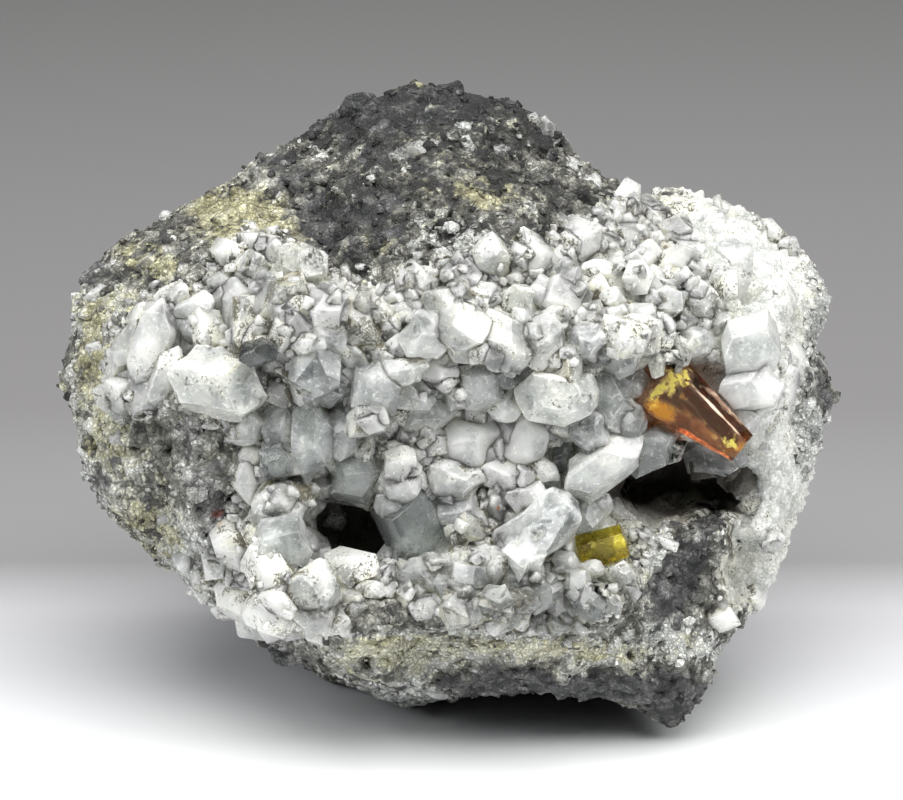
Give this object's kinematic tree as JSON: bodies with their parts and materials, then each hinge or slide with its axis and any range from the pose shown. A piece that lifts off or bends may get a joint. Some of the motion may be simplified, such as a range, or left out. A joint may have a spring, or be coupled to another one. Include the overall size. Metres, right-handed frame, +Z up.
{
  "type": "parisite mineral specimen",
  "caption": "Loose stone of dark shale with an open pocket of white calcite crystals, a tapered brown parisite crystal lying across the pocket and a short olive one low in it.",
  "frame": {"origin": "middle of the stone's footprint box, on the ground", "axes": "+Z up, the crystal pocket faces -Y and leans back, +X to the viewer's right"},
  "size_m": [0.0748, 0.0495, 0.0571],
  "materials": {
    "matrix": "rough black shale with grey, olive and white grit",
    "calcite_crust": "milky white calcite, satin with bright crystal faces",
    "parisite_crystal": "orange-brown, clear to cloudy, glassy with fine lines across",
    "small_parisite_crystal": "olive yellow, glassy"
  },
  "bodies": {
    "root": {"matrix": "matrix", "calcite_crust": "calcite_crust", "parisite_crystal": "parisite_crystal", "small_parisite_crystal": "small_parisite_crystal"}
  },
  "joints": []
}
